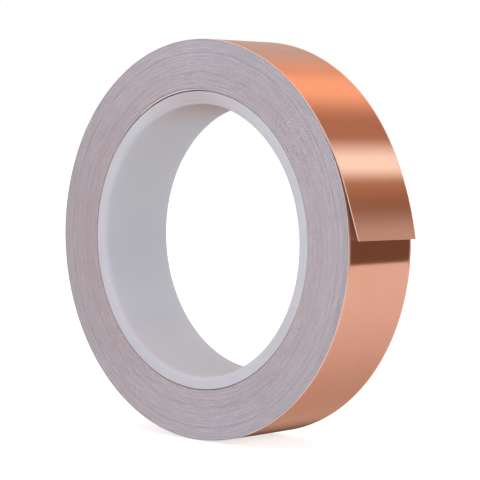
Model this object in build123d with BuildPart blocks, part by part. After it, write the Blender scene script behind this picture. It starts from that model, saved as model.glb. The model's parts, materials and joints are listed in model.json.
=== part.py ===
from build123d import *

import os
from math import cos, degrees, radians, sin

# A roll of copper foil tape on a moulded plastic core, standing on its rim.
# The origin is the centre of the core's bore, halfway along it. +Y runs along the bore, away from
# the front face. +Z is up, and +X is to the right as the front face is seen.
# As the front face is seen, the tape is wound clockwise outwards, and its free end leaves the
# roll on the right and hangs down. Angles are counted from +X towards +Z.

# Driving dimensions, in millimetres and degrees
roll_width = 25.4
roll_radius = 56.2
bore_radius = 38.1
core_wall = 3.6
bore_edge_radius = 1.3
rim_edge_radius = 0.3

foil_thickness = 0.035
adhesive_thickness = 0.030
liner_thickness = 0.075

tab_thickness = 0.1
tab_length = 20.0
tab_side_margin = 0.5
start_angle = 123.0

peel_angle = 24.0
free_end_bend_radius = 132.0
free_end_length = 22.6
free_end_lift = 0.3
free_end_gap = 0.2

# Derived sizes
half_width = roll_width / 2
core_radius = bore_radius + core_wall
tape_thickness = foil_thickness + adhesive_thickness + liner_thickness
winding_radius = core_radius + tab_thickness
first_turn_radius = winding_radius + 2 * tape_thickness

# Each layer of the tape: how deep its outer face lies under the tape's outer face, and its
# thickness. The foil faces out, and the liner faces the core.
tape_layers = {
    "foil": (0.0, foil_thickness),
    "adhesive": (foil_thickness, adhesive_thickness),
    "liner": (foil_thickness + adhesive_thickness, liner_thickness),
}

# The two turns that are modelled layer by layer: the angle where each ends, and the radius of
# its outer face there.
single_turns = {
    "inner_turn": (start_angle, first_turn_radius),
    "outer_turn": (peel_angle, roll_radius),
}


def polar(radius, angle):
    return (radius * cos(radians(angle)), radius * sin(radians(angle)))


def spiral_turn(end_angle, end_radius):
    """One turn that widens by the tape's thickness, as two half circles that meet smoothly."""
    shift = tape_thickness / 4
    CenterArc(polar(shift, end_angle), end_radius - shift, end_angle, 180)
    CenterArc(polar(-shift, end_angle), end_radius - 3 * shift, end_angle + 180, 180)


def radial_line(inner_radius, outer_radius, angle):
    Line(polar(inner_radius, angle), polar(outer_radius, angle))


os.makedirs("parts", exist_ok=True)

# The core: a moulded ring with well rounded bore edges and a small radius on its rim edges
with BuildPart() as core:
    with BuildSketch(Plane.XZ):
        Circle(core_radius)
        Circle(bore_radius, mode=Mode.SUBTRACT)
    extrude(amount=half_width, both=True)
    rings = core.edges().filter_by(GeomType.CIRCLE).group_by(SortBy.RADIUS)
    fillet(rings[0], radius=bore_edge_radius)
    fillet(rings[-1], radius=rim_edge_radius)
core.part.label = "core"
export_step(core.part, "parts/core.step")

# The double-sided tab that holds the start of the tape on the core
tab_sweep = degrees(tab_length / core_radius)
with BuildPart() as starter_tab:
    with BuildSketch(Plane.XZ):
        with BuildLine():
            CenterArc((0, 0), core_radius, start_angle, -tab_sweep)
            CenterArc((0, 0), winding_radius, start_angle, -tab_sweep)
            radial_line(core_radius, winding_radius, start_angle)
            radial_line(core_radius, winding_radius, start_angle - tab_sweep)
        make_face()
    extrude(amount=half_width - tab_side_margin, both=True)
starter_tab.part.label = "starter_tab"
export_step(starter_tab.part, "parts/starter_tab.step")

# The first and the last turn on the roll, each as its liner, adhesive and foil
for turn_name, (end_angle, end_radius) in single_turns.items():
    for layer_name, (depth, thickness) in tape_layers.items():
        outer = end_radius - depth
        inner = outer - thickness
        with BuildPart() as turn:
            with BuildSketch(Plane.XZ):
                with BuildLine():
                    spiral_turn(end_angle, outer)
                    spiral_turn(end_angle, inner)
                    radial_line(inner, outer, end_angle)
                    radial_line(inner - tape_thickness, outer - tape_thickness, end_angle)
                make_face()
            extrude(amount=half_width, both=True)
        turn.part.label = f"{turn_name}_{layer_name}"
        export_step(turn.part, f"parts/{turn.part.label}.step")

# The turns in between, as one solid that fills the space between the first and the last turn
with BuildPart() as wound_turns:
    with BuildSketch(Plane.XZ):
        with BuildLine():
            spiral_turn(peel_angle, roll_radius - tape_thickness)
            radial_line(roll_radius - 2 * tape_thickness, roll_radius - tape_thickness, peel_angle)
        make_face()
        with BuildLine():
            spiral_turn(start_angle, first_turn_radius)
            radial_line(first_turn_radius - tape_thickness, first_turn_radius, start_angle)
        make_face(mode=Mode.SUBTRACT)
    extrude(amount=half_width, both=True)
wound_turns.part.label = "wound_turns"
export_step(wound_turns.part, "parts/wound_turns.step")

# The free end: it leaves the roll along the tangent at the peel line, and straightens as it goes
root_angle = peel_angle - degrees(free_end_gap / free_end_bend_radius)
free_end_sweep = degrees(free_end_length / free_end_bend_radius)
bend_centre = polar(roll_radius + free_end_lift - free_end_bend_radius, peel_angle)
for layer_name, (depth, thickness) in tape_layers.items():
    outer = free_end_bend_radius - depth
    inner = outer - thickness
    with BuildPart() as free_end:
        with BuildSketch(Plane.XZ):
            with BuildLine():
                outer_face = CenterArc(bend_centre, outer, root_angle, -free_end_sweep)
                inner_face = CenterArc(bend_centre, inner, root_angle, -free_end_sweep)
                Line(inner_face @ 0, outer_face @ 0)
                Line(inner_face @ 1, outer_face @ 1)
            make_face()
        extrude(amount=half_width, both=True)
    free_end.part.label = f"free_end_{layer_name}"
    export_step(free_end.part, f"parts/{free_end.part.label}.step")

turns_on_roll = (roll_radius - winding_radius) / tape_thickness
peel_line = polar(roll_radius + free_end_lift, peel_angle)
print(f"turns on the roll: {turns_on_roll:.1f}")
print(f"hinge line of the free end: x {peel_line[0]:.3f}, z {peel_line[1]:.3f}")
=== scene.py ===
"""A roll of copper foil tape: the wound strip turn by turn, its lifted free end, and the core.

Sizes are in millimetres until a mesh is made. Angles are in degrees from +X towards +Z, seen from
the front, which is the side that faces -Y. The tape winds clockwise outwards. A turn count is 0
where the winding starts on the core, and grows by 1 with each turn.
"""
import json
import math
import random

import bpy
import numpy as np
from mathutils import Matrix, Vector


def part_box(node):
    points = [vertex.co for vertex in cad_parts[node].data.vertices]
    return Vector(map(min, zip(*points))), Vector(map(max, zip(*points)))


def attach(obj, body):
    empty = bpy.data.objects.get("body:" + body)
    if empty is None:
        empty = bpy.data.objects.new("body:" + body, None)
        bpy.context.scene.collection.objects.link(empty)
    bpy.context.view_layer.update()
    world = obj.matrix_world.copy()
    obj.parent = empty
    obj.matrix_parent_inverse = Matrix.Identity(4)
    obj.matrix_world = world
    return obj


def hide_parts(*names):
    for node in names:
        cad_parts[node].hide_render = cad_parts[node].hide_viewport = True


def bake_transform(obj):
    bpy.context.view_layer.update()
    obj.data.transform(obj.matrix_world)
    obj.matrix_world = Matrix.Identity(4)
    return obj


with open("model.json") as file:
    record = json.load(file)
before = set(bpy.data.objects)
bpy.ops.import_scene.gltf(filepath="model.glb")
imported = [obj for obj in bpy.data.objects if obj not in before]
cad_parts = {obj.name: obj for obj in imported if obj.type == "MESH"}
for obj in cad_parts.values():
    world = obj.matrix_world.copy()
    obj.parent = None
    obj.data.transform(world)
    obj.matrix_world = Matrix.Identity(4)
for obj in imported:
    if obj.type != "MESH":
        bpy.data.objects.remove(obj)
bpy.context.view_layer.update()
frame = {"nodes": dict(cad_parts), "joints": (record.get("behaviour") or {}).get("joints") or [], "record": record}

MM = 0.001

# Sizes read from the frame
roll_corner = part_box("outer_turn_foil")[1]
ROLL_RADIUS = roll_corner.z / MM
HALF_WIDTH = roll_corner.y / MM
CORE_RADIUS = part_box("core")[1].z / MM
bore = next(m for m in frame["record"]["mounts"] if m["name"] == "core_bore")
BORE_RADIUS = bore["dims"]["r_mm"]
HINGE = Vector(frame["joints"][0]["pos_m"])
HINGE_ANGLE = math.degrees(math.atan2(HINGE.z, HINGE.x))

# The tape. Its layers take up a little less than its pitch, so that uneven turns never touch.
FOIL = 0.035
ADHESIVE = 0.030
LINER = 0.070
PITCH_WANTED = 0.14
TAB = 0.1
START_ANGLE = 123.0
LAYERS = {
    "foil": (0.0, FOIL),
    "adhesive": (FOIL, ADHESIVE),
    "liner": (FOIL + ADHESIVE, LINER),
}

# The winding on the roll: a whole number of turns, and the part of one up to the hinge line
WINDING_RADIUS = CORE_RADIUS + TAB
part_turn = (START_ANGLE - HINGE_ANGLE) / 360
whole_turns = round((ROLL_RADIUS - WINDING_RADIUS) / PITCH_WANTED - 1 - part_turn)
TURNS = whole_turns + part_turn
PITCH = (ROLL_RADIUS - WINDING_RADIUS) / (TURNS + 1)

# The first turns stand off the core over the starter tab. One gap lies under the first of them,
# another opens over the third, and both close towards the rim. These turns' edges are paler.
SLACK_ANGLE = 108.0
SLACK_REACH = 38.0
SLACK_UNDER_FIRST = 0.26
SLACK_OVER_THIRD = 0.22
SLACK_TURNS = 3.0
SLACK_RISE = 0.3
SLACK_PALER = 0.60
SLACK_PALER_FADE = 0.2

# The last turns stand a little apart below the free end
LOOSE_GAP = 0.14
LOOSE_RISE = 24.0
LOOSE_REACH = 120.0
LOOSE_FALL = 70.0
LOOSE_TURNS = 12

# The side faces: how far each layer's edge lies back, and how much deeper the first turns lie
SIDE_SETBACK = 0.06
EDGE_SETBACK = {"foil": 0.0, "adhesive": 0.05, "liner": 0.015}
FIRST_TURNS_DEEPER = 0.25
FIRST_TURNS_COUNT = 1.2

# Each step of the foil's rolled slit edge: how far it lies from the edge, and how far it drops
ROLLED_EDGE = [(0.0, 0.030), (0.08, 0.016), (0.2, 0.005), (0.35, 0.0), (0.6, 0.0), (1.0, 0.0)]
MIDDLE_COLUMNS = 17
MIDDLE_INSET = 2.0

# How much wear and painted highlight the foil has along its slit edges, how wide that is, and how wide it fades
EDGE_WEAR_AND_HIGHLIGHT_FREE_END = {"amount": 1.0, "width": 0.12, "fade": 0.16}
EDGE_WEAR_AND_HIGHLIGHT_ROLL = {"amount": 0.5, "width": 0.40, "fade": 0.30}

# How many steps each kind of strip has in a turn
STEPS_WOUND = 150
STEPS_OUTER = 480

# The free end. Each of its edges leaves the roll at its own angle, bends less than the roll does,
# and runs straight from where it has turned to its last angle. The front edge lifts more.
FRONT_EDGE = {"leaves": 40.0, "radius": 67.0, "straight_from": 19.0}
BACK_EDGE = {"leaves": 29.0, "radius": 76.0, "straight_from": 0.0}
TIP_HEIGHT = 1.6
JOIN_ANGLE = 175.0
FREE_END_STEP = 0.35
FREE_END_STATIONS = 620
EVEN_FROM_EDGE = 0.3

# The core: the radii of its edges, and how finely it is made
CORE_BORE_EDGE = 1.3
CORE_RIM_EDGE = 0.3
CORE_SEGMENTS = 360
BORE_EDGE_STEPS = 10
RIM_EDGE_STEPS = 5
BORE_STATIONS = 16

# How fast painted shade greys the core into its bore
BORE_SHADE_DEPTH = 4.0
# Where a painted pink, darker tint stands for the light of the tab and copper behind the core's wall
PAINTED_TAB_LIGHT_AT = 92.0
PAINTED_TAB_LIGHT_REACH = 38.0
PAINTED_TAB_LIGHT_ON_RIM = 0.55
PAINTED_TAB_LIGHT_DEPTH = 3.0

COPPER_BRIGHT = (0.955, 0.645, 0.535)
COPPER_TARNISHED = (0.94, 0.62, 0.515)
# Copper along the slit edges: wear, and a paler, less metallic band that is a painted highlight line
COPPER_WORN_AND_HIGHLIGHT = (0.95, 0.62, 0.52)
WORN_AND_HIGHLIGHT_METALLIC = 0.35
WORN_ROUGHER = 0.42
LINER_DARK = (0.56, 0.42, 0.36)
LINER_LIGHT = (0.64, 0.51, 0.45)
ADHESIVE_DARK = (0.62, 0.55, 0.50)
ADHESIVE_LIGHT = (0.72, 0.66, 0.60)
CORE_DARK = (0.58, 0.57, 0.61)
CORE_LIGHT = (0.62, 0.61, 0.65)
# Painted shade: the core's colour deeper in the bore
CORE_PAINTED_BORE_SHADE = (0.565, 0.575, 0.60)
# A painted pink, darker tint: the light of the tab and copper behind the core's wall
CORE_PAINTED_TAB_LIGHT = (0.48, 0.385, 0.37)


# ---------------------------------------------------------------- shader nodes

def new_material(name):
    material = bpy.data.materials.new(name)
    material.use_nodes = True
    tree = material.node_tree
    return material, tree, tree.nodes["Principled BSDF"]


def link(tree, source, target):
    tree.links.new(source, target)


def math_node(tree, operation, first, second):
    node = tree.nodes.new("ShaderNodeMath")
    node.operation = operation
    link(tree, first, node.inputs[0])
    link(tree, second, node.inputs[1])
    return node.outputs[0]


def add(tree, first, second):
    return math_node(tree, "ADD", first, second)


def vector_node(tree, operation, first, second=None):
    node = tree.nodes.new("ShaderNodeVectorMath")
    node.operation = operation
    link(tree, first, node.inputs[0])
    if second:
        node.inputs[1].default_value = second
    return node


def attribute(tree, name):
    node = tree.nodes.new("ShaderNodeAttribute")
    node.attribute_name = name
    return node.outputs["Fac"]


def object_place(tree):
    return tree.nodes.new("ShaderNodeTexCoord").outputs["Object"]


def strip_coordinates(tree, along, across):
    """A vector that runs along and across the strip, scaled so that marks can be long and thin."""
    uv = tree.nodes.new("ShaderNodeUVMap")
    uv.uv_map = "strip"
    scaled = vector_node(tree, "MULTIPLY", uv.outputs["UV"], (along, across, 1))
    return scaled.outputs["Vector"]


def round_the_roll(tree, place, around, outwards):
    """A vector for marks that are long around the axis and thin outwards, with no seam."""
    flat = vector_node(tree, "MULTIPLY", place, (1, 0, 1)).outputs["Vector"]
    heading = vector_node(tree, "NORMALIZE", flat).outputs["Vector"]
    marks = vector_node(tree, "MULTIPLY", heading, (around, 0, around)).outputs["Vector"]
    distance = vector_node(tree, "LENGTH", flat).outputs["Value"]
    combine = vector_node(tree, "MULTIPLY_ADD", distance, (0, outwards, 0))
    link(tree, marks, combine.inputs[2])
    return combine.outputs["Vector"]


def noise(tree, vector, scale=1.0, detail=3.0, roughness=0.5):
    node = tree.nodes.new("ShaderNodeTexNoise")
    node.inputs["Scale"].default_value = scale
    node.inputs["Detail"].default_value = detail
    node.inputs["Roughness"].default_value = roughness
    link(tree, vector, node.inputs["Vector"])
    return node.outputs["Fac"]


def map_range(tree, value, low_out, high_out, low_in=0.3, high_in=0.7):
    """Stretches one range to another. Most of a noise lies in the range that it starts from."""
    node = tree.nodes.new("ShaderNodeMapRange")
    node.inputs["From Min"].default_value = low_in
    node.inputs["From Max"].default_value = high_in
    node.inputs["To Min"].default_value = low_out
    node.inputs["To Max"].default_value = high_out
    link(tree, value, node.inputs["Value"])
    return node.outputs["Result"]


def mix_colour(tree, factor, first, second):
    node = tree.nodes.new("ShaderNodeMix")
    node.data_type = "RGBA"
    node.inputs["A"].default_value = (*first, 1)
    node.inputs["B"].default_value = (*second, 1)
    link(tree, factor, node.inputs["Factor"])
    return node.outputs["Result"]


def mix_between(tree, factor, first, second):
    """Mixes from a colour that other nodes make to a plain one."""
    mixed = mix_colour(tree, factor, (0, 0, 0), second)
    link(tree, first, mixed.node.inputs["A"])
    return mixed


def bump(tree, shader, height, strength, distance):
    node = tree.nodes.new("ShaderNodeBump")
    node.inputs["Strength"].default_value = strength
    node.inputs["Distance"].default_value = distance
    link(tree, height, node.inputs["Height"])
    link(tree, node.outputs["Normal"], shader.inputs["Normal"])


# ---------------------------------------------------------------- materials

def copper_foil():
    """Bright rolled copper: fine marks along the strip, faint tarnish, and dull slit edges that carry a painted
    highlight line.
    """
    material, tree, shader = new_material("copper_foil")
    marks = noise(tree, strip_coordinates(tree, 60, 6000), detail=4)
    tarnish = noise(tree, strip_coordinates(tree, 90, 140), detail=2)
    colour = mix_colour(tree, map_range(tree, tarnish, 0, 1), COPPER_BRIGHT, COPPER_TARNISHED)
    # Along the slit edges: wear, and a pale, less metallic band that is a painted highlight line
    wear_and_highlight = attribute(tree, "edge_wear_and_highlight")
    link(tree, mix_between(tree, wear_and_highlight, colour, COPPER_WORN_AND_HIGHLIGHT), shader.inputs["Base Color"])
    link(tree, map_range(tree, wear_and_highlight, 1, WORN_AND_HIGHLIGHT_METALLIC, 0, 1), shader.inputs["Metallic"])
    rough = map_range(tree, marks, 0.055, 0.095)
    rough = add(tree, rough, map_range(tree, wear_and_highlight, 0, WORN_ROUGHER, 0, 1))
    link(tree, rough, shader.inputs["Roughness"])
    bump(tree, shader, marks, 0.06, 0.00001)
    return material


def slit_edge(name, near_core, near_rim, rough):
    """The cut edge of one layer. It differs a little from turn to turn and from place to place."""
    material, tree, shader = new_material(name)
    base = mix_colour(tree, attribute(tree, "winding"), near_core, near_rim)
    place = object_place(tree)
    streaks = noise(tree, round_the_roll(tree, place, 9, 2600), detail=2)
    dust = noise(tree, place, scale=2600, detail=2)
    tone = add(tree, attribute(tree, "tone"), map_range(tree, streaks, -0.11, 0.11))
    tone = add(tree, tone, map_range(tree, dust, -0.13, 0.13))
    shade = tree.nodes.new("ShaderNodeHueSaturation")
    link(tree, base, shade.inputs["Color"])
    link(tree, tone, shade.inputs["Value"])
    link(tree, shade.outputs["Color"], shader.inputs["Base Color"])
    shader.inputs["Roughness"].default_value = rough
    return material


def release_liner():
    """Coated paper with short fibres, on the strip's inner face."""
    material, tree, shader = new_material("release_liner")
    fibres = noise(tree, strip_coordinates(tree, 2500, 1800), detail=5, roughness=0.65)
    colour = mix_colour(tree, map_range(tree, fibres, 0, 1), LINER_DARK, LINER_LIGHT)
    link(tree, colour, shader.inputs["Base Color"])
    shader.inputs["Roughness"].default_value = 0.42
    bump(tree, shader, fibres, 0.25, 0.00003)
    return material


def adhesive_film():
    """A soft, slightly clear film, a little uneven where it has flowed."""
    material, tree, shader = new_material("adhesive")
    flow = noise(tree, strip_coordinates(tree, 700, 900), detail=2)
    colour = mix_colour(tree, flow, ADHESIVE_DARK, ADHESIVE_LIGHT)
    link(tree, colour, shader.inputs["Base Color"])
    link(tree, map_range(tree, flow, 0.12, 0.3), shader.inputs["Roughness"])
    shader.inputs["Transmission Weight"].default_value = 0.2
    return material


def core_plastic():
    """Milky moulded plastic with a satin skin and a fine moulded grain. Painted shade greys it deeper into the
    bore, and a painted pink, darker tint stands for the light of the starter tab and the copper behind its wall."""
    material, tree, shader = new_material("core_plastic")
    place = object_place(tree)
    cloud = noise(tree, place, scale=60, detail=3)
    grain = noise(tree, place, scale=2600, detail=3)
    rim = mix_colour(tree, map_range(tree, cloud, 0, 1), CORE_DARK, CORE_LIGHT)
    # Painted shade greys the bore deeper in from each side face
    painted_bore_shade = mix_between(tree, attribute(tree, "painted_bore_shade"), rim, CORE_PAINTED_BORE_SHADE)
    # A painted pink, darker tint over the tab, for the light of the tab and copper behind the wall
    colour = mix_between(tree, attribute(tree, "over_tab"), painted_bore_shade, CORE_PAINTED_TAB_LIGHT)
    link(tree, colour, shader.inputs["Base Color"])
    link(tree, map_range(tree, grain, 0.30, 0.42), shader.inputs["Roughness"])
    shader.inputs["Subsurface Weight"].default_value = 0.35
    shader.inputs["Subsurface Radius"].default_value = (1.0, 0.95, 0.9)
    shader.inputs["Subsurface Scale"].default_value = 0.0015
    bump(tree, shader, grain, 0.08, 0.00003)
    return material


FACES = {"foil": copper_foil(), "adhesive": adhesive_film(), "liner": release_liner()}
CORE_PLASTIC = core_plastic()
WOUND_EDGES = {
    "foil": slit_edge("copper_edge_wound", (0.46, 0.38, 0.39), (0.44, 0.38, 0.40), 0.5),
    "adhesive": slit_edge("adhesive_edge_wound", (0.47, 0.44, 0.49), (0.45, 0.44, 0.49), 0.35),
    "liner": slit_edge("liner_edge_wound", (0.61, 0.575, 0.63), (0.58, 0.58, 0.65), 0.6),
}
# The last turn's and the free end's cut edges, painted pale as a highlight line where the last turn meets the side
# faces
LAST_EDGES_PAINTED_HIGHLIGHT = {
    "foil": slit_edge("copper_edge_painted_highlight", (0.98, 0.66, 0.50), (0.98, 0.66, 0.50), 0.4),
    "adhesive": slit_edge("adhesive_edge_painted_highlight", (0.85, 0.68, 0.58), (0.85, 0.68, 0.58), 0.35),
    "liner": slit_edge("liner_edge_painted_highlight", (0.88, 0.76, 0.70), (0.88, 0.76, 0.70), 0.6),
}


# ---------------------------------------------------------------- meshes

def new_piece(name, vertices, faces):
    """An object with a mesh of its own, from arrays of places in millimetres and of corners."""
    mesh = bpy.data.meshes.new(name)
    mesh.from_pydata((np.asarray(vertices) * MM).tolist(), [], np.asarray(faces).tolist())
    piece = bpy.data.objects.new(name, mesh)
    bpy.context.scene.collection.objects.link(piece)
    return piece


def shade_smooth(mesh):
    mesh.polygons.foreach_set("use_smooth", np.ones(len(mesh.polygons), bool))


def add_values(mesh, name, values):
    """Gives every vertex a number that the materials read."""
    held = mesh.attributes.new(name, "FLOAT", "POINT")
    held.data.foreach_set("value", np.asarray(values, np.float32))


def corner_vertices(mesh):
    """The vertex at each corner of each face."""
    corners = np.zeros(len(mesh.loops), np.int32)
    mesh.loops.foreach_get("vertex_index", corners)
    return corners


# ---------------------------------------------------------------- the winding's shape

class Path:
    """A line in the XZ plane with its outward normals, arc lengths and turn counts."""

    def __init__(self, points, angles, turns):
        self.points = np.array(points, float)
        radians = np.radians(np.array(angles, float))
        self.normals = np.stack([np.cos(radians), np.sin(radians)], 1)
        steps = np.linalg.norm(np.diff(self.points, axis=0), axis=1)
        self.lengths = np.concatenate([[0], np.cumsum(steps)])
        self.turns = np.array(turns, float)


def smooth(values):
    """Runs from 0 to 1 with no corner at either end."""
    held = np.clip(values, 0, 1)
    return held * held * (3 - 2 * held)


def hump(angles, middle, reach):
    """1 at a middle angle, falling smoothly to 0 at a reach to either side."""
    off_middle = (angles - middle + 180) % 360 - 180
    return np.cos(np.radians(np.clip(off_middle / reach, -1, 1) * 90)) ** 2


def over_tab(turns):
    return hump(START_ANGLE - 360 * turns, SLACK_ANGLE, SLACK_REACH)


def slack(turns):
    """How far each place of the winding stands off the spiral, over the starter tab."""
    third_opens = SLACK_TURNS - SLACK_RISE
    over_third = SLACK_OVER_THIRD * np.clip((turns - third_opens) / SLACK_RISE, 0, 1)
    closing = np.clip(1 - turns / TURNS, 0, 1)
    return over_tab(turns) * (SLACK_UNDER_FIRST + over_third) * closing


def loosened(turns):
    """How far the last turns stand off together below the free end, which has pulled on them."""
    below = (HINGE_ANGLE - START_ANGLE + 360 * turns) % 360
    place = smooth(below / LOOSE_RISE) * smooth((LOOSE_REACH - below) / LOOSE_FALL)
    return LOOSE_GAP * place * np.clip(1 - (TURNS - 1 - turns) / LOOSE_TURNS, 0, 1)


def winding_path(first_turn, last_turn, steps_per_turn):
    """The tape's outer face from one turn count to another, on the spiral."""
    count = int((last_turn - first_turn) * steps_per_turn)
    turns = np.append(first_turn + np.arange(count) / steps_per_turn, last_turn)
    angles = START_ANGLE - 360 * turns
    radii = WINDING_RADIUS + PITCH * (turns + 1) + slack(turns) + loosened(turns)
    radians = np.radians(angles)
    points = np.stack([radii * np.cos(radians), radii * np.sin(radians)], 1)
    return Path(points, angles, turns)


def turn_values(seed, spread, group_spread):
    """A value for each turn: small changes from turn to turn, and larger ones every few turns."""
    draw = random.Random(seed)
    values, level, left = [], 0.0, 0
    for _ in range(int(TURNS) + 4):
        if left == 0:
            level = draw.gauss(0, group_spread)
            left = draw.randint(2, 4)
        left -= 1
        values.append(level + draw.gauss(0, spread))
    return np.array(values)


def along_turns(values, base):
    """Makes a function of the turn count that runs smoothly from one turn's value to the next."""
    places = np.arange(len(values))
    return lambda turns: base + np.interp(turns, places, values)


plain_tone = along_turns(turn_values(11, 0.08, 0.035), 1.0)
side_shift = along_turns(turn_values(5, 0.006, 0.006), 0.0)


def tone_of(turns):
    """The tone of the slit edges. The turns that stand off over the tab are paler."""
    standing_off = np.clip((SLACK_TURNS - turns) / SLACK_PALER_FADE, 0, 1) * over_tab(turns)
    return plain_tone(turns) + SLACK_PALER * standing_off


# ---------------------------------------------------------------- strips

def strip(name, path, columns, outer, inner, face, edge, wear_and_highlight=None):
    """A closed strip along a path. outer and inner are heights over the path's line, either
    one number or one for each station and column."""
    stations, width = len(path.points), len(columns)
    shape = (stations, width)
    grids = []
    for height in (outer, inner):
        lift = np.broadcast_to(np.asarray(height, float), shape)
        at = path.points[:, None, :] + path.normals[:, None, :] * lift[:, :, None]
        across = np.broadcast_to(np.asarray(columns, float), shape)
        grids.append(np.stack([at[:, :, 0], across, at[:, :, 1]], 2).reshape(-1, 3))
    ids = np.arange(stations * width).reshape(shape)
    under = ids + stations * width

    def quads(a, b):
        """Faces between two rows of vertices of the same length, one station apart."""
        return np.stack([a[:-1], b[:-1], b[1:], a[1:]], -1).reshape(-1, 4)

    top = [quads(ids[:, j + 1], ids[:, j]) for j in range(width - 1)]
    bottom = [quads(under[:, j], under[:, j + 1]) for j in range(width - 1)]
    walls = [quads(ids[:, 0], under[:, 0]), quads(under[:, -1], ids[:, -1])]
    ends = [quads(ids[0], under[0])[:, ::-1], quads(ids[-1], under[-1])]
    broad, cut = np.concatenate(top + bottom), np.concatenate(walls + ends)
    piece = new_piece(name, np.concatenate(grids), np.concatenate([broad, cut]))
    mesh = piece.data
    shade_smooth(mesh)
    slots = np.repeat([0, 1], [len(broad), len(cut)])
    mesh.polygons.foreach_set("material_index", slots.astype(np.int32))
    mark_sharp_edges(mesh, stations, width)
    add_strip_data(mesh, path, columns, wear_and_highlight)
    mesh.materials.append(face)
    mesh.materials.append(edge)
    return piece


def mark_sharp_edges(mesh, stations, width):
    """The strip's four long corners and the outlines of its two ends are sharp."""
    ends = np.zeros(len(mesh.edges) * 2, np.int32)
    mesh.edges.foreach_get("vertices", ends)
    side, rest = np.divmod(ends.reshape(-1, 2), stations * width)
    station, column = np.divmod(rest, width)
    lengthwise = (station[:, 0] != station[:, 1]) & (side[:, 0] == side[:, 1])
    border = (column == 0) | (column == width - 1)
    last = (station == 0) | (station == stations - 1)
    sharp = (lengthwise & border.all(1)) | (~lengthwise & last.all(1))
    mesh.edges.foreach_set("use_edge_sharp", sharp)


def add_strip_data(mesh, path, columns, wear_and_highlight):
    """The strip's own coordinates as a UV map, and its place, tone and wear for the materials."""
    stations, width = len(path.points), len(columns)
    along = np.tile(np.repeat(path.lengths, width), 2) * MM
    across = np.tile(np.asarray(columns, float), 2 * stations) * MM
    corners = corner_vertices(mesh)
    uv = mesh.uv_layers.new(name="strip")
    uv.data.foreach_set("uv", np.stack([along[corners], across[corners]], 1).ravel())
    add_values(mesh, "winding", np.tile(np.repeat(path.turns / TURNS, width), 2))
    add_values(mesh, "tone", np.tile(np.repeat(tone_of(path.turns), width), 2))
    if wear_and_highlight:
        # The band along each slit edge: wear, and a painted highlight line
        from_edge = HALF_WIDTH - np.abs(columns)
        share = wear_and_highlight["amount"] * np.clip(1 - (from_edge - wear_and_highlight["width"]) / wear_and_highlight["fade"], 0, 1)
        add_values(mesh, "edge_wear_and_highlight", np.tile(share, 2 * stations))


def wound_strip(layer):
    """All turns but the last, as one long spiral strip. The turns are never quite level at the
    side faces, and the first ones lie deeper, beside the core."""
    depth, thickness = LAYERS[layer]
    path = winding_path(0, TURNS - 1, STEPS_WOUND)
    piece = strip(
        layer + "_wound", path, [-HALF_WIDTH, HALF_WIDTH], -depth, -depth - thickness,
        FACES[layer], WOUND_EDGES[layer],
    )
    shift = np.clip(side_shift(path.turns), -SIDE_SETBACK, SIDE_SETBACK)
    deeper = FIRST_TURNS_DEEPER * np.exp(-path.turns / FIRST_TURNS_COUNT)
    setback = SIDE_SETBACK + EDGE_SETBACK[layer] + deeper * (1 - over_tab(path.turns))
    places = np.zeros(len(piece.data.vertices) * 3)
    piece.data.vertices.foreach_get("co", places)
    places = places.reshape(-1, 3)
    shifts = np.tile(np.repeat(shift, 2), 2)
    setbacks = np.tile(np.repeat(setback, 2), 2)
    places[:, 1] += (shifts - np.sign(places[:, 1]) * setbacks) * MM
    piece.data.vertices.foreach_set("co", places.ravel())
    piece.data.update()
    return piece


# The columns across the last turn and the free end, and how far each drops as the edge rolls over
near_edge = [inset - HALF_WIDTH for inset, _ in ROLLED_EDGE]
middle = list(np.linspace(MIDDLE_INSET - HALF_WIDTH, HALF_WIDTH - MIDDLE_INSET, MIDDLE_COLUMNS))
COLUMNS = np.array(near_edge + middle + [-column for column in reversed(near_edge)])
edge_drop = [-drop for _, drop in ROLLED_EDGE]
EDGE_DROP = np.array(edge_drop + [0.0] * MIDDLE_COLUMNS + edge_drop[::-1])


def outer_turn(layer, last_turn):
    """The last turn, from under the free end to the far side of the roll."""
    depth, thickness = LAYERS[layer]
    path = winding_path(TURNS - 1, last_turn, STEPS_OUTER)
    height = np.tile(EDGE_DROP, (len(path.points), 1))
    return strip(
        layer + "_outer_turn", path, COLUMNS, height - depth, height - depth - thickness,
        FACES[layer], LAST_EDGES_PAINTED_HIGHLIGHT[layer], EDGE_WEAR_AND_HIGHLIGHT_ROLL,
    )


def free_end_edge(edge, first_turn):
    """One long edge of the tape in equal steps: round the roll, off it on a wider bend, straight."""
    turn, points, angles = first_turn, [], []
    while len(points) < FREE_END_STATIONS:
        angle = (START_ANGLE - 360 * turn) % 360
        if angle > edge["leaves"]:
            radius = WINDING_RADIUS + PITCH * (turn + 1)
            x, z = radius * math.cos(math.radians(angle)), radius * math.sin(math.radians(angle))
            turn += FREE_END_STEP / (2 * math.pi * radius)
            heading = angle
        else:
            straight = heading <= edge["straight_from"]
            bend = 0.0 if straight else math.degrees(FREE_END_STEP / edge["radius"])
            middle_heading = math.radians(heading - bend / 2)
            x += FREE_END_STEP * math.sin(middle_heading)
            z -= FREE_END_STEP * math.cos(middle_heading)
            heading -= bend
        points.append((x, z))
        angles.append(heading)
    return np.array(points), np.array(angles)


def free_end_path(first_turn):
    """The middle line from the far side of the roll to the tip, and how much higher than it the
    front edge lies. The back edge lies as much lower."""
    front, front_angles = free_end_edge(FRONT_EDGE, first_turn)
    back, back_angles = free_end_edge(BACK_EDGE, first_turn)
    points, angles = (front + back) / 2, (front_angles + back_angles) / 2
    hanging = (angles < BACK_EDGE["leaves"]) & (points[:, 1] < TIP_HEIGHT)
    last = int(np.argmax(hanging))
    turned = first_turn + (JOIN_ANGLE - angles[:last]) / 360
    path = Path(points[:last], angles[:last], np.minimum(turned, TURNS))
    skew = ((front - back)[:last] * path.normals).sum(1) / 2
    return path, skew


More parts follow.
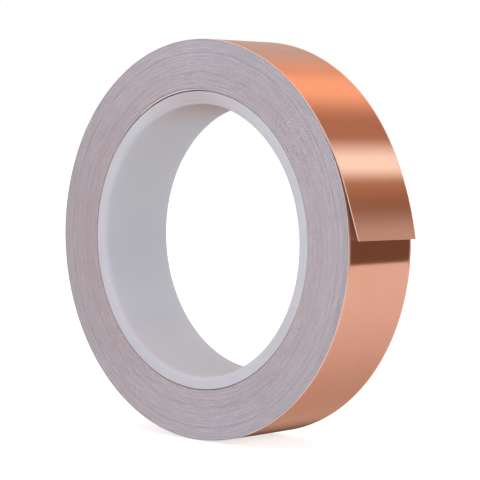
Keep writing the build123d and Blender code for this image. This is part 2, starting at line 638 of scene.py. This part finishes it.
def free_end(layer, path, skew):
    """The last half turn and the free end, lifted more at its front edge than at its back edge."""
    depth, thickness = LAYERS[layer]
    height = -np.outer(skew, COLUMNS / HALF_WIDTH) + EDGE_DROP
    piece = strip(
        layer + "_free_end", path, COLUMNS, height - depth, height - depth - thickness,
        FACES[layer], LAST_EDGES_PAINTED_HIGHLIGHT[layer], EDGE_WEAR_AND_HIGHLIGHT_FREE_END,
    )
    even_out_twist(piece.data, path)
    return piece


def even_out_twist(mesh, path):
    """Shades the broad faces as if the foil had no twist, which its own stiffness spreads out."""
    turned = np.stack([path.normals[:, 0], np.zeros(len(path.normals)), path.normals[:, 1]], 1)
    outward = np.repeat(turned, len(COLUMNS), axis=0)
    by_vertex = np.concatenate([outward, -outward])
    by_vertex[np.tile(np.abs(COLUMNS) > HALF_WIDTH - EVEN_FROM_EDGE, 2 * len(path.normals))] = 0
    slot = np.zeros(len(mesh.polygons), np.int32)
    mesh.polygons.foreach_get("material_index", slot)
    sizes = np.zeros(len(mesh.polygons), np.int32)
    mesh.polygons.foreach_get("loop_total", sizes)
    on_face = np.repeat(slot == 0, sizes)
    mesh.normals_split_custom_set((by_vertex[corner_vertices(mesh)] * on_face[:, None]).tolist())


join_turn = whole_turns + (START_ANGLE - JOIN_ANGLE) / 360
tail_path, tail_skew = free_end_path(join_turn)
for layer in LAYERS:
    wound = wound_strip(layer)
    last = outer_turn(layer, join_turn)
    tail = free_end(layer, tail_path, tail_skew)
    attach(wound, "roll")
    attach(last, "roll")
    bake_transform(tail)
    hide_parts("inner_turn_" + layer)
    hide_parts("outer_turn_" + layer)
    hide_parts("free_end_" + layer)
    if layer == "liner":
        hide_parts("wound_turns")


# ---------------------------------------------------------------- core

def rounded_edge(from_axis, side, radius, start, steps):
    """A quarter circle of the core's profile, clockwise from an angle."""
    turns = np.radians(start - 90 * np.arange(steps + 1) / steps)
    return [(from_axis + radius * math.cos(t), side + radius * math.sin(t)) for t in turns]


def core_profile():
    """The distance from the axis and the place along it of each point of the core's outline."""
    bore_centre, bore_side = BORE_RADIUS + CORE_BORE_EDGE, HALF_WIDTH - CORE_BORE_EDGE
    rim_centre, rim_side = CORE_RADIUS - CORE_RIM_EDGE, HALF_WIDTH - CORE_RIM_EDGE
    profile = rounded_edge(bore_centre, bore_side, CORE_BORE_EDGE, 180, BORE_EDGE_STEPS)
    profile += rounded_edge(rim_centre, rim_side, CORE_RIM_EDGE, 90, RIM_EDGE_STEPS)
    profile += rounded_edge(rim_centre, -rim_side, CORE_RIM_EDGE, 0, RIM_EDGE_STEPS)
    profile += rounded_edge(bore_centre, -bore_side, CORE_BORE_EDGE, -90, BORE_EDGE_STEPS)
    bore_sides = np.linspace(-bore_side, bore_side, BORE_STATIONS)[1:-1]
    profile += [(BORE_RADIUS, side) for side in bore_sides]
    return np.array(profile)


def core_ring():
    """The moulded core, turned from its profile: a rounded bore edge and a small rim radius."""
    radii, sides = core_profile().T
    turns = np.radians(np.arange(CORE_SEGMENTS) * 360 / CORE_SEGMENTS)
    x = np.outer(np.cos(turns), radii)
    z = np.outer(np.sin(turns), radii)
    y = np.broadcast_to(sides, x.shape)
    ids = np.arange(x.size).reshape(x.shape)
    ahead = np.roll(ids, -1, axis=0)
    beside, ahead_beside = np.roll(ids, -1, axis=1), np.roll(ahead, -1, axis=1)
    faces = np.stack([ids, ahead, ahead_beside, beside], -1).reshape(-1, 4)
    piece = new_piece("core_ring", np.stack([x, y, z], 2).reshape(-1, 3), faces)
    mesh = piece.data
    shade_smooth(mesh)
    mesh.materials.append(CORE_PLASTIC)
    # Painted shade: greyer deeper into the bore, from each side face
    depth = HALF_WIDTH - np.abs(sides)
    on_bore_side = radii < BORE_RADIUS + CORE_BORE_EDGE / 2
    bore_shade_amount = (1 - np.exp(-depth / BORE_SHADE_DEPTH)) * on_bore_side
    # Painted pink tint and shade over the tab: part strength on the rim, growing into the bore
    painted_light_by_tab = hump(np.degrees(turns), PAINTED_TAB_LIGHT_AT, PAINTED_TAB_LIGHT_REACH)
    painted_light_depth_share = np.where(bore_shade_amount > 0, np.clip(depth / PAINTED_TAB_LIGHT_DEPTH, 0, 1), PAINTED_TAB_LIGHT_ON_RIM)
    add_values(mesh, "painted_bore_shade", np.tile(bore_shade_amount, CORE_SEGMENTS))
    add_values(mesh, "over_tab", np.outer(painted_light_by_tab, painted_light_depth_share).ravel())
    return piece


core = core_ring()
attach(core, "roll")
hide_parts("core")
tab = frame["nodes"]["starter_tab"]
tab.data.materials.clear()
tab.data.materials.append(FACES["adhesive"])


# ---------------------------------------------------------------- studio

FLOOR_REACH = 8000.0
FLOOR_GREY = (0.5, 0.5, 0.5, 1)
FLOOR_GLOW = (0.40, 0.75)
# A card that only the foil sees: a painted reflection of a bench in shadow
CARD_LOW = (-45.0, -20.0)
CARD_HIGH = (12.0, 45.0)
CARD_OVER_FLOOR = 0.01
CARD_GLOW = (0.13, 0.06, 0.05, 1)

# The studio that the polished foil sees, as long lights and cards laid side by side around the
# roll's axis. Each runs from one angle to another, fades over its two soft edges, and adds to the
# ones it overlaps. The gap between the table and the side wall is left dark.
DAYLIGHT = (1.0, 1.2, 1.15)
PALE = (1.0, 0.95, 0.95)
ROSE = (1.0, 0.82, 0.72)
PEACH = (1.0, 0.70, 0.55)
AMBER = (1.0, 0.52, 0.32)
ROOM_IN_SHADOW = (0.16, 0.08, 0.05)
STUDIO = {
    "table": {"span": (-144, -15), "soft": (30, 1.5), "strength": 0.35, "colour": PEACH},
    "table_near_light": {"span": (-70, -15), "soft": (90, 1.5), "strength": 0.28, "colour": PALE},
    "side_wall": {"span": (8, 28), "soft": (15, 9), "strength": 0.38, "colour": ROSE},
    "warm_wall": {"span": (32, 130), "soft": (15, 20), "strength": 0.28, "colour": AMBER},
    "strip_light": {"span": (43, 57), "soft": (10, 14), "strength": 0.65, "colour": DAYLIGHT},
    "amber_light": {"span": (85, 117), "soft": (25, 30), "strength": 0.60, "colour": AMBER},
    "ceiling": {"span": (124, 185), "soft": (28, 1), "strength": 0.43, "colour": ROSE},
}
KEY_DIRECTION = (0.25, -0.80, 0.55)
SOFT_FROM_BEHIND = (0.72, 0.72, 0.75)
SOFT_FROM_KEY = (1.13, 1.13, 1.18)

CAMERA_AZIMUTH = 44.1
CAMERA_ELEVATION = 2.9
CAMERA_DISTANCE = 533.0
CAMERA_TARGET = (4.6, 0.0, -0.15)
CAMERA_LENS = 141.5


def stage_plate(name, low, high, height):
    """A level rectangle that isn't part of the object."""
    corners = [(low[0], low[1]), (high[0], low[1]), (high[0], high[1]), (low[0], high[1])]
    plate = new_piece(name, [(x, y, height) for x, y in corners], [(0, 1, 2, 3)])
    material, tree, shader = new_material(name)
    plate.data.materials.append(material)
    return plate, tree, shader


def studio_floor():
    """A pale floor. It is lit up for the camera, so that the shadow on it stays faint."""
    low, high = (-FLOOR_REACH, -FLOOR_REACH), (FLOOR_REACH, FLOOR_REACH)
    floor, tree, shader = stage_plate("floor", low, high, -ROLL_RADIUS)
    shader.inputs["Base Color"].default_value = FLOOR_GREY
    shader.inputs["Roughness"].default_value = 0.9
    shader.inputs["Emission Color"].default_value = (1, 1, 1, 1)
    rays = tree.nodes.new("ShaderNodeLightPath")
    glow = map_range(tree, rays.outputs["Is Camera Ray"], *FLOOR_GLOW, 0, 1)
    link(tree, glow, shader.inputs["Emission Strength"])
    floor.visible_glossy = False


def painted_shade_card():
    """A dark, faintly glowing card under the roll that only the foil sees: a painted reflection of a bench in
    shadow.
    """
    height = -ROLL_RADIUS + CARD_OVER_FLOOR
    card, tree, shader = stage_plate("painted_shade_card", CARD_LOW, CARD_HIGH, height)
    shader.inputs["Base Color"].default_value = (0, 0, 0, 1)
    shader.inputs["Emission Color"].default_value = CARD_GLOW
    shader.inputs["Emission Strength"].default_value = 1.0
    card.visible_camera = False
    card.visible_diffuse = False
    card.visible_shadow = False
    card.visible_transmission = False


def edge_of_light(tree, angle, at, soft, before, after):
    """Goes smoothly from one value to another over the soft edge of a light."""
    edge = map_range(tree, angle, before, after, at - soft / 2, at + soft / 2)
    edge.node.interpolation_type = "SMOOTHSTEP"
    return edge


def studio_lights(tree, direction):
    """The sum of the studio's lights, as they lie around the roll's axis."""
    split = tree.nodes.new("ShaderNodeSeparateXYZ")
    link(tree, direction, split.inputs[0])
    around = math_node(tree, "ARCTAN2", split.outputs["Z"], split.outputs["X"])
    angle = map_range(tree, around, -180, 180, -math.pi, math.pi)
    total = None
    for light in STUDIO.values():
        (start, stop), (soft_start, soft_stop) = light["span"], light["soft"]
        rise = edge_of_light(tree, angle, start, soft_start, 0, 1)
        fall = edge_of_light(tree, angle, stop, soft_stop, 1, 0)
        shining = math_node(tree, "MULTIPLY", rise, fall)
        colour = Vector(light["colour"]) * light["strength"]
        adding = vector_node(tree, "MULTIPLY_ADD", shining, colour)
        adding.inputs[2].default_value = ROOM_IN_SHADOW
        if total:
            link(tree, total, adding.inputs[2])
        total = adding.outputs["Vector"]
    return total


def soft_light(tree, direction):
    """Even light that is stronger towards the key side, in front and above."""
    towards_key = vector_node(tree, "DOT_PRODUCT", direction, KEY_DIRECTION)
    share = map_range(tree, towards_key.outputs["Value"], 0, 1, -1, 1)
    return mix_colour(tree, share, SOFT_FROM_BEHIND, SOFT_FROM_KEY)


def studio_world():
    """Soft light all round. The foil sees the studio's lights, and the camera sees white."""
    world = bpy.data.worlds.new("studio")
    bpy.context.scene.world = world
    world.use_nodes = True
    tree = world.node_tree
    direction = tree.nodes.new("ShaderNodeTexCoord").outputs["Generated"]
    rays = tree.nodes.new("ShaderNodeLightPath")
    lit = mix_between(tree, rays.outputs["Is Glossy Ray"], soft_light(tree, direction), (0, 0, 0))
    link(tree, studio_lights(tree, direction), lit.node.inputs["B"])
    seen = mix_between(tree, rays.outputs["Is Camera Ray"], lit, (1, 1, 1))
    link(tree, seen, tree.nodes["Background"].inputs["Color"])


def camera():
    data = bpy.data.cameras.new("camera")
    data.lens = CAMERA_LENS
    data.sensor_width = 36.0
    data.clip_start, data.clip_end = 0.01, 50.0
    cam = bpy.data.objects.new("camera", data)
    bpy.context.scene.collection.objects.link(cam)
    azimuth, elevation = math.radians(CAMERA_AZIMUTH), math.radians(CAMERA_ELEVATION)
    level = math.cos(elevation)
    back = Vector((level * math.sin(azimuth), -level * math.cos(azimuth), math.sin(elevation)))
    target = Vector(CAMERA_TARGET) * MM
    cam.location = target + back * CAMERA_DISTANCE * MM
    cam.rotation_mode = "QUATERNION"
    cam.rotation_quaternion = (target - cam.location).to_track_quat("-Z", "Y")
    bpy.context.scene.camera = cam


studio_floor()
painted_shade_card()
studio_world()
camera()
bpy.context.scene.view_settings.view_transform = "Standard"
